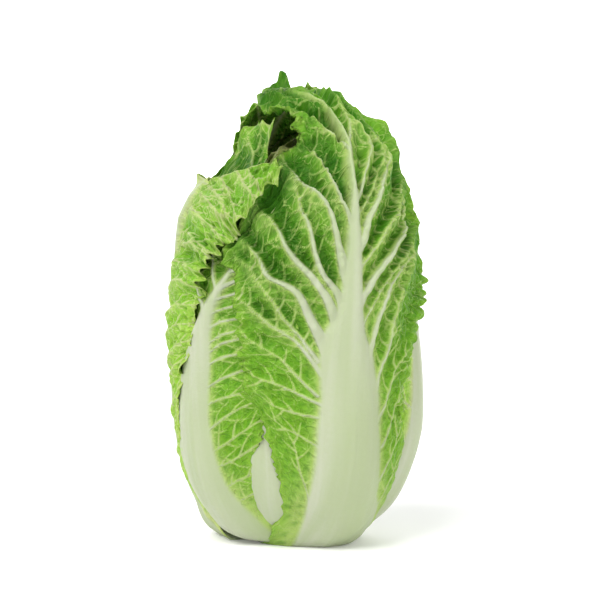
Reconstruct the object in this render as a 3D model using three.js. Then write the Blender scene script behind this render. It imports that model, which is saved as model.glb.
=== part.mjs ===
// A napa cabbage: one head of overlapping leaves round a short stem, standing on its trimmed base.
// Millimetres, +Z up. The origin is the middle of the stem's cut face, and the broad front leaf looks
// towards -Y. Every leaf is a closed sheet that is laid on a shell of the head: the shells lie one inside
// the other like the skins of an onion, so leaves that share a direction never meet.
import * as THREE from "three";
import { mergeVertices } from "three/addons/utils/BufferGeometryUtils.js";

// The head's outside, which a turned outline describes.
const HEAD_RADIUS = 84;
const WAIST_HEIGHT = 130;
const CROWN_HEIGHT = 290;
const FOOT_HEIGHT = -6; // the outline's lowest point, which the cut has trimmed away
const FOOT_SQUARENESS = 3; // 2 is an ellipse, and more makes the foot of the head flatter
const CROWN_SQUARENESS = 2.3;
const CROWN_LEAN = 14; // how far to the right the crown leans
const LEAN_START = 140; // and the height that the lean begins at

// The heart in the middle, where the shells end.
const HEART_RADIUS = 7;
const HEART_FOOT = 78;
const HEART_TIP = 208;
const HEART_SQUARENESS = 3;
const HEART_GAP = 1.2; // between the stem's tip and the heart

// The stem: its cut face, and the cone that the leaves grow from.
const STEM_RADIUS = 26;
const STEM_TIP_RADIUS = 8;
const STEM_HEIGHT = 76;
const STEM_BEVEL = 2;

// How the leaves are set round the stem, and the shells that they lie on.
const LEAF_COUNT = 20;
const OUTER_COUNT = 8; // leaves of which something shows
const FIRST_AZIMUTH = -105; // degrees from the front, positive to the right
const GOLDEN_ANGLE = 137.5;
const FIRST_DEPTH = 4.6; // of the outermost blade, below the head's outside
const OUTER_STEP = 2.1; // from one leaf's shell to the next
const INNER_STEP = 3.3;
const FOOT_STEPS = 0.65; // how wide the steps are at the foot, as a share of that
const CROWN_STEPS = 1.2; // and at the crown
const FOOT_END = 0.2; // shares of a leaf's length at which the steps leave the foot's width,
const CROWN_START = 0.55; // start to widen again
const CROWN_END = 0.9; // and have the crown's width
const SHELL_DEPTH = 75; // from the head's outside to the heart
const STEM_GAP = 0.5; // between the stem and a leaf's foot

// One leaf: a fleshy rib that tapers upwards, with a thin blade on both sides.
const BLADE_THICKNESS = 1.0;
const RIB_HEIGHT = 4.6; // how far the rib stands out of the blade
const RIB_TIP_HEIGHT = 0.3; // share of that which is left at the leaf's tip
const RIB_RISES_BY = 0.12; // share of the length along which it reaches that height
const RIB_SHOULDERS = [0.55, 1.1]; // shares of the half width between which its sides slope down
const RIB_FOOT = 24; // half the rib's width at the stem
const RIB_BELLY = 29; // and where the foot of the head turns up
const RIB_TIP = 2; // and at the leaf's tip
const BELLY_AT = 70; // along the leaf from the stem
const RIB_TAPER = 1.5; // 1 narrows evenly from the belly, and more narrows sooner

// One side of a leaf. spread is the angle from the rib to the side edge where the leaf is widest, which
// is at widest, a share of its length. hang is how far back the corner beside the tip lies.
const SIDE = { spread: 58, widest: 0.6, hang: 0.16 };
const CORNER_SHARPNESS = 2.5;
const FOOT_SHARE = 0.2; // share of the spread at the foot
const TIP_SHARE = 0.55; // and at the tip
const NARROWS_FROM = 0.64; // share of the length from which it narrows towards the tip

// Faces across and along a leaf, which lie closer together on the rib and towards the foot.
const OUTER_SEGMENTS = [12, 20];
const INNER_SEGMENTS = [8, 14];
const CLOSER_ACROSS = 1.3;
const CLOSER_ALONG = 1.3;

// Leaves that are set by hand. turn is added to the leaf's place in the spiral, tip is where it ends,
// as a share of the way from the head's foot to its crown and beyond, and lean moves the tip sideways.
const BY_HAND = [
  {
    name: "outer_leaf_left", tip: 0.91, lean: 34,
    left: { spread: 50, hang: 0.26 }, right: { spread: 60, widest: 0.68, hang: 0.04 },
  },
  { name: "outer_leaf_front", turn: -8, tip: 1.03, lean: -16, left: { spread: 62 } },
  { name: "outer_leaf_back", turn: 20, tip: 0.99, lean: 10, right: { spread: 60, hang: 0.06 } },
  {
    name: "outer_leaf_front_left", tip: 0.93, lean: 12,
    left: { spread: 54 }, right: { spread: 50, widest: 0.66 },
  },
  { name: "outer_leaf_right", tip: 0.97, lean: -4 },
  { name: "outer_leaf_back_left", tip: 0.95, lean: 0 },
  { name: "outer_leaf_middle", turn: -14, tip: 0.94, lean: 0 },
  { name: "outer_leaf_back_right", tip: 0.97, lean: 0 },
];
const INNER_TIP = 0.96;
const INNER_LEAN = 6;

const { clamp, lerp, smoothstep, degToRad } = THREE.MathUtils;

// A closed outline turned round the head's axis: x is the radius and y the height. It runs from the
// bottom of the axis to the top, rounded by a superellipse below its waist and by another above it.
class Outline extends THREE.Curve {
  constructor(radius, foot, waist, top, squareBelow, squareAbove = squareBelow) {
    super();
    Object.assign(this, { radius, foot, waist, top, squareBelow, squareAbove });
    this.arcLengthDivisions = 800;
  }
  getPoint(t, target = new THREE.Vector2()) {
    const angle = clamp(t, 0, 1) * Math.PI;
    const below = angle < Math.PI / 2;
    const power = 2 / (below ? this.squareBelow : this.squareAbove);
    const across = Math.max(Math.sin(angle), 0) ** power;
    const up = Math.abs(Math.cos(angle)) ** power;
    const reach = below ? this.foot - this.waist : this.top - this.waist;
    return target.set(this.radius * across, this.waist + reach * up);
  }
}
const HEAD = new Outline(
  HEAD_RADIUS, FOOT_HEIGHT, WAIST_HEIGHT, CROWN_HEIGHT, FOOT_SQUARENESS, CROWN_SQUARENESS,
);
const HEART_WAIST = (HEART_FOOT + HEART_TIP) / 2;
const HEART = new Outline(HEART_RADIUS, HEART_FOOT, HEART_WAIST, HEART_TIP, HEART_SQUARENESS);

// Radius and height of a shell that lies depth inside the head, at a share of the way from foot to crown.
function shellPoint(share, depth) {
  const outside = HEAD.getPointAt(clamp(share, 0, 1));
  const inside = HEART.getPointAt(clamp(share, 0, 1));
  return outside.lerp(inside, depth / SHELL_DEPTH);
}

// A shell's stretch in millimetres for one radian across a leaf whose middle is at share.
function acrossRadian(share, depth) {
  const kept = clamp(share, 0.02, 0.98);
  return shellPoint(kept, depth).x / Math.sin(Math.PI * kept);
}

// The point that is across radians to the side of a leaf's middle line, at share along that line.
// Sideways runs along a great circle, so a leaf goes over the crown without being pinched there.
function headPoint(azimuth, share, across, depth) {
  const along = Math.PI * share;
  const out = Math.sin(along) * Math.cos(across);
  const side = Math.sin(across);
  const up = -Math.cos(along) * Math.cos(across);
  const turned = azimuth + Math.atan2(side, out);
  const point = shellPoint(Math.acos(clamp(-up, -1, 1)) / Math.PI, depth);
  const risen = Math.max(point.y - LEAN_START, 0) / (CROWN_HEIGHT - LEAN_START);
  return new THREE.Vector3(
    point.x * Math.sin(turned) + CROWN_LEAN * risen ** 2,
    -point.x * Math.cos(turned),
    Math.max(point.y, 0), // the foot of the head is cut off level
  );
}

function stemRadius(height) {
  return lerp(STEM_RADIUS, STEM_TIP_RADIUS, clamp(height / STEM_HEIGHT, 0, 1));
}

// Where leaf number order sits, counted from the outside.
function leafPlan(order) {
  const inner = order - OUTER_COUNT + 1;
  const plain = {
    name: `inner_leaf_${String(inner).padStart(2, "0")}`, turn: 0, tip: INNER_TIP, lean: INNER_LEAN,
  };
  const plan = { ...plain, ...BY_HAND[order] };
  const below = OUTER_STEP * order + (INNER_STEP - OUTER_STEP) * Math.max(inner, 0);
  const depth = FIRST_DEPTH + below;
  const footDepth = FIRST_DEPTH + FOOT_STEPS * below + BLADE_THICKNESS;
  let foot = 0;
  let edge = shellPoint(foot, footDepth);
  while (edge.x < stemRadius(edge.y) + STEM_GAP) {
    foot += 0.0005;
    edge = shellPoint(foot, footDepth);
  }
  return {
    ...plan,
    below,
    foot,
    left: { ...SIDE, ...plan.left },
    right: { ...SIDE, ...plan.right },
    azimuth: degToRad(FIRST_AZIMUTH + GOLDEN_ANGLE * order + plan.turn),
    size: 1 - depth / SHELL_DEPTH * (1 - HEART_RADIUS / HEAD_RADIUS),
    segments: inner > 0 ? INNER_SEGMENTS : OUTER_SEGMENTS,
  };
}

// Half the rib's width at a distance along the leaf, in the leaf's own size.
function ribHalfWidth(along, length) {
  if (along < BELLY_AT) return lerp(RIB_FOOT, RIB_BELLY, smoothstep(along, 0, BELLY_AT));
  const left = clamp((length - along) / (length - BELLY_AT), 0, 1);
  return lerp(RIB_TIP, RIB_BELLY, left ** RIB_TAPER);
}

// A point of the leaf: u runs from its left edge at -1 to its right edge at 1, v from its foot at 0 to
// its tip at 1, and face is 0 on the side that looks inwards and 1 on the side that looks out.
function leafPoint(plan, u, v, face) {
  const side = u < 0 ? plan.left : plan.right;
  const widening = lerp(FOOT_SHARE, 1, smoothstep(v, 0, side.widest));
  const narrowing = lerp(1, TIP_SHARE, smoothstep(v, NARROWS_FROM, 1));
  const across = u * degToRad(side.spread) * widening * narrowing;
  const drift = degToRad(plan.lean) * smoothstep(v, CROWN_START, 1);

  // The foot's edge curves round the stem, and the corners beside the tip hang back.
  const straight = Math.cos(Math.PI * plan.foot) / Math.cos(across);
  const clasp = Math.acos(clamp(straight, -1, 1)) / Math.PI;
  const start = lerp(clasp, plan.foot, Math.min(2 * v, 1));
  const end = plan.tip - side.hang * Math.abs(u) ** CORNER_SHARPNESS * v;
  const share = lerp(start, end, v);

  const tightness = lerp(FOOT_STEPS, 1, smoothstep(v, 0, FOOT_END));
  const looseness = lerp(1, CROWN_STEPS, smoothstep(v, CROWN_START, CROWN_END));
  const shell = FIRST_DEPTH + plan.below * tightness * looseness;

  const length = (plan.tip - plan.foot) * HEAD.getLength();
  const halfWidth = ribHalfWidth(v * length, length) * plan.size;
  const away = Math.abs(across) * acrossRadian(share, shell);
  const cap = 1 - smoothstep(away / halfWidth, ...RIB_SHOULDERS);
  const swell = smoothstep(v, -RIB_RISES_BY / 3, RIB_RISES_BY) * lerp(1, RIB_TIP_HEIGHT, v);
  const height = RIB_HEIGHT * plan.size * swell * cap;
  const depth = face > 0 ? shell - height : shell + BLADE_THICKNESS;
  return headPoint(plan.azimuth, share, across + drift, depth);
}

// A leaf as a solid: a box of many faces, one face thick, whose corners are moved onto the head.
function leafMesh(order) {
  const plan = leafPlan(order);
  const box = new THREE.BoxGeometry(2, 1, 1, ...plan.segments, 1);
  box.deleteAttribute("normal");
  box.deleteAttribute("uv");
  const geometry = mergeVertices(box);
  const corners = geometry.getAttribute("position");
  const corner = new THREE.Vector3();
  for (let i = 0; i < corners.count; i++) {
    corner.fromBufferAttribute(corners, i);
    const u = Math.sign(corner.x) * Math.abs(corner.x) ** CLOSER_ACROSS;
    const v = (corner.y + 0.5) ** CLOSER_ALONG;
    const placed = leafPoint(plan, u, v, corner.z);
    corners.setXYZ(i, placed.x, placed.y, placed.z);
  }
  geometry.computeVertexNormals();
  const shade = new THREE.Color(0x7fae3c).lerp(new THREE.Color(0xd9e2a4), order / LEAF_COUNT);
  const material = new THREE.MeshStandardMaterial({ color: shade, roughness: 0.45, metalness: 0 });
  const mesh = new THREE.Mesh(geometry, material);
  mesh.name = plan.name;
  return mesh;
}

// A solid turned round the head's axis from radius and height pairs that start and end on the axis.
function turned(name, outline, color) {
  const geometry = new THREE.LatheGeometry(outline, 32);
  geometry.rotateX(Math.PI / 2);
  const material = new THREE.MeshStandardMaterial({ color, roughness: 0.6, metalness: 0 });
  const mesh = new THREE.Mesh(geometry, material);
  mesh.name = name;
  return mesh;
}

const stemOutline = [
  [0, 0],
  [STEM_RADIUS - STEM_BEVEL, 0],
  [stemRadius(STEM_BEVEL), STEM_BEVEL],
  [stemRadius(STEM_HEIGHT - STEM_BEVEL), STEM_HEIGHT - STEM_BEVEL],
  [STEM_TIP_RADIUS - STEM_BEVEL, STEM_HEIGHT],
  [0, STEM_HEIGHT],
].map(([x, y]) => new THREE.Vector2(x, y));

const heartOutline = [];
const HEART_STEPS = 12;
for (let i = 0; i <= HEART_STEPS; i++) {
  const point = HEART.getPointAt(i / HEART_STEPS);
  const low = STEM_HEIGHT + HEART_GAP;
  const onAxis = i === 0 || i === HEART_STEPS;
  heartOutline.push(new THREE.Vector2(onAxis ? 0 : point.x, Math.max(point.y, low)));
}

const cabbage = new THREE.Group();
cabbage.name = "napa_cabbage";
cabbage.add(turned("stem", stemOutline, 0xe6e6c8));
cabbage.add(turned("heart_bud", heartOutline, 0xe9e3a0));
for (let order = 0; order < LEAF_COUNT; order++) cabbage.add(leafMesh(order));

export default cabbage;
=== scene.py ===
# %% [markdown]
# # A napa cabbage, leaf by leaf
# A napa cabbage is a stack of curled leaves round a short stem. This lesson shapes every leaf from one flat
# blank, lays it on a shell of the head, and last of all colours, lights and frames the head. The measured
# solids are loaded first, because each new leaf stands in for one of them and has to keep its place.

import math
from types import SimpleNamespace

import bmesh
import bpy
import numpy as np
from mathutils import Matrix


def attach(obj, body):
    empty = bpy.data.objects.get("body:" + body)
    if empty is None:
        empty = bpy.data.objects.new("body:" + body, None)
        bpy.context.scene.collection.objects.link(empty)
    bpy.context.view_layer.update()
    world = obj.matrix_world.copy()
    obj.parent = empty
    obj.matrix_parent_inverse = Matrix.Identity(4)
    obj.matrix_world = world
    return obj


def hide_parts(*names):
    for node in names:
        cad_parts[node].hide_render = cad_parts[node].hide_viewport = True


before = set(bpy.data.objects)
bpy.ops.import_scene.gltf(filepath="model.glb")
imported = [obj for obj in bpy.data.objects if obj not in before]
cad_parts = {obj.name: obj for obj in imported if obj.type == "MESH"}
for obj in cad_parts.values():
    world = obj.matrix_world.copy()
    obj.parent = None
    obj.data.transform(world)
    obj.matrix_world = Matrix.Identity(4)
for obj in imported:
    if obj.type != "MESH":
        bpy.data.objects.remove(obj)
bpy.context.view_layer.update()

# %% [markdown]
# The leaves of a head lie on shells, one inside the other. Each shell could be a modelled surface that
# leaves are shrunk onto, but a formula is quicker and never misses. The outermost shell is a turned
# outline, the innermost is the small heart, and a depth between the two picks any other. Lengths are in
# millimetres here, because ribs and veins are easier to picture in them, and each mesh is scaled to metres
# when it is filled.

# %% The shells that leaves lie on
MM = 0.001
HEAD = {"radius": 84, "foot": -6, "waist": 130, "top": 290, "below": 3, "above": 2.3}
HEART = {"radius": 7, "foot": 78, "waist": 143, "top": 208, "below": 3, "above": 3}
SHELL_DEPTH = 75  # from the head's outside to its heart


def distance_along(points):
    """Distance along a run of points, from the first to each."""
    return np.concatenate([[0], np.cumsum(np.hypot(*np.diff(points, axis=0).T))])


def turned_outline(shape, steps=1600):
    """Points along an outline: share of its length, radius and height, and the whole length."""
    turn = np.linspace(0, np.pi, steps)
    lower = turn < np.pi / 2
    power = np.where(lower, 2 / shape["below"], 2 / shape["above"])
    radius = shape["radius"] * np.clip(np.sin(turn), 0, None) ** power
    reach = np.where(lower, shape["foot"] - shape["waist"], shape["top"] - shape["waist"])
    height = shape["waist"] + reach * np.abs(np.cos(turn)) ** power
    run = distance_along(np.stack([radius, height], -1))
    return {"share": run / run[-1], "radius": radius, "height": height, "length": run[-1]}


OUTSIDE, INSIDE = turned_outline(HEAD), turned_outline(HEART)
HEAD_LENGTH = OUTSIDE["length"]


def shell(share, depth):
    """Radius and height of the shell that lies depth below the outside, at a share of its length."""
    outer = [np.interp(share, OUTSIDE["share"], OUTSIDE[key]) for key in ("radius", "height")]
    inner = [np.interp(share, INSIDE["share"], INSIDE[key]) for key in ("radius", "height")]
    mixed = depth / SHELL_DEPTH
    return outer[0] + (inner[0] - outer[0]) * mixed, outer[1] + (inner[1] - outer[1]) * mixed


def across_radian(share, depth):
    """Millimetres for one radian to the side of a leaf's middle line."""
    kept = np.clip(share, 0.02, 0.98)
    return shell(kept, depth)[0] / np.sin(np.pi * kept)


print("length of the outside from foot to crown, mm:", round(HEAD_LENGTH, 1))

# %% [markdown]
# No head is quite round. This one is fuller low on the right and slack high on the left, its crown leans
# over to the right, and its foot is bedded down by its own weight. A lattice round the finished leaves
# could do that, but as part of the formula it moves every leaf alike, so the leaves stay packed.

# %% The head's own unevenness
CROWN_LEAN = 14
LEAN_START = 140
SINK, SINK_TOP = 4.5, 24  # how far the feet of the leaves bed down, and the height where that ends
SIDE_REACH = 60  # the unevenness grows over this distance from the head's middle

# (height, millimetres outwards) for each side of the head
FULLER_RIGHT = [
    (0, 5), (8, 6), (30, 6), (70, 7), (110, 4), (180, -1), (200, -2), (215, -2), (245, -3), (258, -6),
    (270, -12),
]
FULLER_LEFT = [
    (0, 5), (8, 4), (20, 1), (60, 1), (200, 0), (215, -4), (231, -9), (240, -13), (252, -9), (270, -4),
]


def smooth(low, high, value):
    """0 below low, 1 above high, with a soft passage between them."""
    part = np.clip((value - low) / (high - low), 0, 1)
    return part * part * (3 - 2 * part)


def through(points, value):
    """The height of a line through (place, height) points, at value."""
    return np.interp(value, *zip(*sorted(points)))


def settle(points):
    """Fills the head out at its sides, and lets its foot sink onto the floor."""
    height = points[..., 2]
    right = through(FULLER_RIGHT, height) * smooth(0, SIDE_REACH, points[..., 0])
    left = through(FULLER_LEFT, height) * smooth(0, SIDE_REACH, -points[..., 0])
    points[..., 0] += right - left
    points[..., 2] = np.maximum(height - SINK * (1 - smooth(0, SINK_TOP, height)), 0)
    return points


def head_point(azimuth, share, across, depth):
    """Where a leaf's point lies: across radians to the side of the middle line, along a great circle."""
    along = np.pi * share
    out, side = np.sin(along) * np.cos(across), np.sin(across)
    up = -np.cos(along) * np.cos(across)
    turned = azimuth + np.arctan2(side, out)
    radius, height = shell(np.arccos(np.clip(-up, -1, 1)) / np.pi, depth)
    lean = CROWN_LEAN * (np.clip(height - LEAN_START, 0, None) / (HEAD["top"] - LEAN_START)) ** 2
    points = [radius * np.sin(turned) + lean, -radius * np.cos(turned), np.maximum(height, 0)]
    return settle(np.stack(points, -1))


print("the head's front at its waist, mm:", head_point(0, 0.46, 0, 0).round(1))

# %% [markdown]
# Real leaves are full of small irregularities. A Displace modifier could roughen a finished mesh, but here
# one unevenness also steers others, such as where a vein bends, so the noise is worked out as numbers for
# every corner of a leaf. It starts from seeded random numbers, so each run gives the same leaf.

# %% Soft lumps
LUMP_TILE = 96  # random numbers along each side of the grid that the lumps are drawn from


def lumps(x, y, size, seed):
    """Smooth noise from -1 to 1 whose lumps are about size millimetres wide."""
    grid = np.random.default_rng(seed).uniform(-1, 1, (LUMP_TILE, LUMP_TILE))
    column, row = np.floor(x / size).astype(int), np.floor(y / size).astype(int)
    right, up = smooth(0, 1, x / size - column), smooth(0, 1, y / size - row)
    corner = [[grid[(row + j) % LUMP_TILE, (column + i) % LUMP_TILE] for i in (0, 1)] for j in (0, 1)]
    lower = corner[0][0] + (corner[0][1] - corner[0][0]) * right
    upper = corner[1][0] + (corner[1][1] - corner[1][0]) * right
    return lower + (upper - lower) * up


print("lumps along a line:", lumps(np.arange(0, 60, 15.0), np.zeros(4), 15, 1).round(2))

# %% [markdown]
# The finest veins of a leaf close into a net of small cells. Blender's Voronoi texture draws such a net,
# but as a picture. Here the same idea is worked out as numbers, so that the blade itself can sink into a
# pit between the veins, and so that each pit can have a tone of its own.

# %% A net of cells
CELL_TILE = 128  # random cells along each side before the net repeats


def cells(x, y, size, seed):
    """Distance in millimetres to the border of the nearest random cell, and a number for each cell."""
    rng = np.random.default_rng(seed)
    shift = rng.uniform(0.08, 0.92, (CELL_TILE, CELL_TILE, 2))
    value = rng.uniform(-1, 1, (CELL_TILE, CELL_TILE))
    column, row = np.floor(x / size).astype(int), np.floor(y / size).astype(int)
    near = []
    for j in range(-2, 3):
        for i in range(-2, 3):
            pick = shift[(row + j) % CELL_TILE, (column + i) % CELL_TILE]
            near.append(np.stack([column + i + pick[..., 0], row + j + pick[..., 1]], -1) * size)
    near = np.stack(near)
    apart = np.linalg.norm(near - np.stack([x, y], -1), axis=-1)
    first = np.argmin(apart, axis=0)
    seed_point = np.take_along_axis(near, first[None, ..., None], 0)[0]
    own = np.take_along_axis(apart, first[None], 0)[0]
    between = np.linalg.norm(near - seed_point, axis=-1)
    border = (apart**2 - own**2) / (2 * np.maximum(between, 1e-6))
    border = np.where(between < 1e-6, 1e9, border).min(axis=0)
    spot = np.floor(seed_point / size).astype(int)
    return border, value[spot[..., 1] % CELL_TILE, spot[..., 0] % CELL_TILE]


print("distance to a cell's border, mm:", cells(np.arange(0, 40, 10.0), np.zeros(4), 8, 1)[0].round(2))

# %% [markdown]
# The veins of an ordinary leaf leave its rib nearly level low down, and steeply near the tip. They could be
# drawn as curves one by one, but for twenty leaves a rule is less work: it says how steep, how long and how
# thick a vein is, and random numbers unsettle it. A vein is a half width and a run of points, and each
# point says how far from the leaf's middle it lies, and how far up from its foot.

# %% Veins that grow by a rule
def grown_veins(length, seed, first=46, gap=23, slope=1):
    """Veins for one side of an ordinary leaf, from the foot upwards: half width at the root, and points."""
    rng = np.random.default_rng(seed)
    run = np.array([0, 12, 26, 44, 66, 92])
    veins, root = [], first
    while root < length - 26:
        steep = np.interp(root / length, [0.1, 0.35, 0.6, 0.85], [0.25, 0.55, 1.1, 1.7])
        steep *= rng.uniform(0.85, 1.2) * slope
        rise = steep * run**0.93 + rng.uniform(-2, 2, 6)
        width = np.interp(root / length, [0.1, 0.4, 0.7, 1], [0.9, 1.4, 1.3, 0.8]) * rng.uniform(0.8, 1.15)
        veins.append((width, [(5 + x, root + max(y, 0)) for x, y in zip(run, rise)]))
        root += gap * rng.uniform(0.7, 1.25)
    return veins


print("veins on one side of a 280 mm leaf:", len(grown_veins(280, 1)))

# %% [markdown]
# Listed points give a vein corners, and a real vein has none. It also grows out of the rib rather than
# starting beside it, and it carries twigs on alternate sides. Curve objects could smooth the run, but the
# next step needs plain points, so the run is resampled and softened as numbers, and its twigs are bent from
# it.

# %% Smooth veins and their twigs
def softened(points, count=26):
    """A run of points made smooth, and started a little earlier so that it grows out of the rib."""
    points = np.array(points, float)
    first = points[1] - points[0]
    points = np.vstack([points[0] - first / np.hypot(*first) * 7, points])
    run = distance_along(points)
    even = np.linspace(0, run[-1], count)
    points = np.stack([np.interp(even, run, points[:, k]) for k in (0, 1)], -1)
    for _ in range(3):
        points[1:-1] = (points[:-2] + 2 * points[1:-1] + points[2:]) / 4
    return points


def twigs(veins, seed):
    """Small side veins that leave the veins at a slant, alternately on both sides."""
    rng = np.random.default_rng(seed)
    grown = []
    for _, points in veins:
        run = distance_along(points)
        at, hand = rng.uniform(13, 19), 1
        while at < run[-1] - 4:
            root = np.array([np.interp(at, run, points[:, k]) for k in (0, 1)])
            ahead = np.array([np.interp(at + 3, run, points[:, k]) for k in (0, 1)]) - root
            angle = np.arctan2(ahead[1], ahead[0]) + hand * rng.uniform(0.6, 1.15)
            size, bend = rng.uniform(9, 19), -hand * rng.uniform(0.1, 0.5)
            turn = angle + bend * np.array([0, 0.5, 1])
            step = size / 3 * np.stack([np.cos(turn), np.sin(turn)], -1)
            grown.append((rng.uniform(0.35, 0.6), np.vstack([root, root + np.cumsum(step, axis=0)])))
            at, hand = at + rng.uniform(5, 9), -hand
    return grown


sample = [(width, softened(points)) for width, points in grown_veins(280, 1)]
print("twigs on those veins:", len(twigs(sample, 1)))

# %% [markdown]
# A vein stands out of the blade as a rounded ridge that thins towards its end. It could be a swept tube
# joined to the leaf, but then the joint would show. Lifting the leaf's own corners by how near they are to
# the vein keeps the leaf one skin, and the same distance later says where the vein's pale colour goes.

# %% Lay a vein on the blade
RIDGE_TOP = 2.4  # no vein stands higher than this


def lay_strand(x, y, width, points, ridge, vein):
    """Adds one vein to the ridge height, and to the distance from the nearest vein's side."""
    reach = width * 2.2 + 4
    near = (x > points[:, 0].min() - reach) & (x < points[:, 0].max() + reach)
    near &= (y > points[:, 1].min() - reach) & (y < points[:, 1].max() + reach)
    px, py = x[near], y[near]
    run = distance_along(points)
    best, part = np.full(px.shape, 1e9), np.zeros_like(px)
    for k in range(len(points) - 1):
        step = points[k + 1] - points[k]
        share = ((px - points[k][0]) * step[0] + (py - points[k][1]) * step[1]) / (step @ step)
        share = np.clip(share, 0, 1)
        apart = np.hypot(px - points[k][0] - share * step[0], py - points[k][1] - share * step[1])
        closer = apart < best
        best = np.where(closer, apart, best)
        part = np.where(closer, (run[k] + share * (run[k + 1] - run[k])) / run[-1], part)
    half = 0.25 + width * (1 - part) ** 0.85 * (1 + 0.35 * np.exp(-part * 9))
    crest = np.clip(1 - (best / (half * 1.2 + 0.6)) ** 2, 0, 1)
    ridge[near] = np.maximum(ridge[near], crest * np.minimum(half * 0.9, RIDGE_TOP))
    vein[near] = np.minimum(vein[near], best - half)


height_sample, side_sample = np.zeros((1, 5)), np.full((1, 5), 4.0)
lay_strand(np.full((1, 5), 40.0), np.linspace(50, 70, 5)[None], *sample[0], height_sample, side_sample)
print("ridge across the first vein, mm:", height_sample.round(2))

# %% [markdown]
# Between two veins the blade is folded, so each corner has to know which vein it stands above, how far, and
# how wide the gap to the next vein is. A search from every corner to every vein would be slow. Reading the
# veins as lines stacked above each other turns it into counting how many lie below the corner.

# %% Where a corner lies among the veins
OPEN_GAP = 30  # what is taken for the gap beyond the first and last veins


def vein_field(x, y, veins, seed):
    """Ridge height, distance from a vein, height above the vein below and the gap there, for one side."""
    ridge, vein = np.zeros_like(x), np.full_like(x, 4)
    veins = [(width, softened(points)) for width, points in veins]
    for width, points in veins + twigs(veins, seed):
        lay_strand(x, y, width, points, ridge, vein)
    lines, slants = [], []
    for _, points in veins:
        path = np.vstack([points, points[-1] + (points[-1] - points[-3]) * 12])
        order = np.maximum.accumulate(path[:, 0] + np.arange(len(path)) * 0.01)
        lines.append(np.interp(x, order, path[:, 1]))
        rise = np.clip(np.gradient(path[:, 1]) / np.gradient(order), -4, 4)
        slants.append(1 / np.hypot(1, np.interp(x, order, rise)))
    stack, slant = np.maximum.accumulate(np.stack(lines), axis=0), np.stack(slants)
    below = (stack <= y).sum(axis=0)
    under, over = [np.clip(below - k, 0, len(veins) - 1)[None] for k in (1, 0)]
    low, high = [np.take_along_axis(stack, which, 0)[0] for which in (under, over)]
    steep = np.take_along_axis(slant, under, 0)[0]
    gap = np.where((below > 0) & (below < len(veins)), (high - low) * steep, OPEN_GAP)
    above = np.where(below > 0, (y - low) * steep, OPEN_GAP)
    return ridge, vein, above, gap


spots = vein_field(np.full((1, 4), 30.0), np.arange(60, 220, 40.0)[None], grown_veins(280, 1), 1)
print("gap between veins up the leaf, mm:", spots[3].round(1))

# %% [markdown]
# A leaf is one thin closed skin. It could be a plane with a Solidify modifier, but a leaf's rib is thick on
# one face only, so both faces are needed as real corners. A grid is extruded once: that gives it a second
# side and a closed rim, and its rows and columns then say which part of the leaf a corner belongs to.

# %% The leaf blank
def leaf_blank(columns, rows):
    """A flat closed sheet, one unit wide, long and thick, with its outer face up."""
    sheet = bmesh.new()
    bmesh.ops.create_grid(sheet, x_segments=columns, y_segments=rows, size=0.5)
    grown = bmesh.ops.extrude_face_region(sheet, geom=sheet.faces[:])
    moved = [part for part in grown["geom"] if isinstance(part, bmesh.types.BMVert)]
    bmesh.ops.translate(sheet, verts=moved, vec=(0, 0, 1))
    bmesh.ops.recalc_face_normals(sheet, faces=sheet.faces)
    mesh = bpy.data.meshes.new("leaf_blank")
    sheet.to_mesh(mesh)
    sheet.free()
    return mesh


trial = leaf_blank(100, 150)
print("corners and faces of a blank:", len(trial.vertices), len(trial.polygons))
bpy.data.meshes.remove(trial)

# %% [markdown]
# All corners of a blank are moved onto the head in one go. The leaf keeps its flat layout as a UV map, so
# that patterns follow it round every curl, and it carries painted fields, such as how near a corner is to a
# vein. Weights could be painted by hand, but these are known exactly from the shape, so they are written
# in.

# %% Fill a blank
PAINTED = ("vein", "cell", "edge", "fold", "tone", "near_rib", "glow", "flush")


def fill_leaf(plan, outer, inner, flat, fields):
    """Moves a blank's corners to their places, and gives it its flat layout and its painted fields."""
    columns, rows = plan["faces"]
    mesh = leaf_blank(columns, rows)
    corner = np.empty(len(mesh.vertices) * 3)
    mesh.vertices.foreach_get("co", corner)
    corner = corner.reshape(-1, 3)
    column = np.rint((corner[:, 0] + 0.5) * columns).astype(int)
    row = np.rint((corner[:, 1] + 0.5) * rows).astype(int)
    top = corner[:, 2] > 0.5
    place = np.where(top[:, None], outer[row, column], inner[row, column]) * MM
    mesh.vertices.foreach_set("co", place.ravel())
    loop = np.empty(len(mesh.loops), int)
    mesh.loops.foreach_get("vertex_index", loop)
    layout = mesh.uv_layers.new(name="UVMap")
    layout.data.foreach_set("uv", (flat[row, column][loop] * MM).ravel())
    for key, values in fields.items():
        painted = mesh.attributes.new(key, "FLOAT", "POINT")
        painted.data.foreach_set("value", values[row, column].astype(np.float32))
    mesh.polygons.foreach_set("use_smooth", np.ones(len(mesh.polygons), bool))
    mesh.update()
    leaf = bpy.data.objects.new(plan["name"], mesh)
    bpy.context.scene.collection.objects.link(leaf)
    return leaf


print("painted fields:", ", ".join(PAINTED))

# %% [markdown]
# Leaves leave the stem in a spiral, 137.5 degrees apart, and each new one is squeezed inside those before
# it. They could be placed by eye, but the same rule as the measured solids use puts every leaf where its
# solid stands. It also tells how deep the leaf's shell lies, and where on the stem its foot begins.

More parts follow.
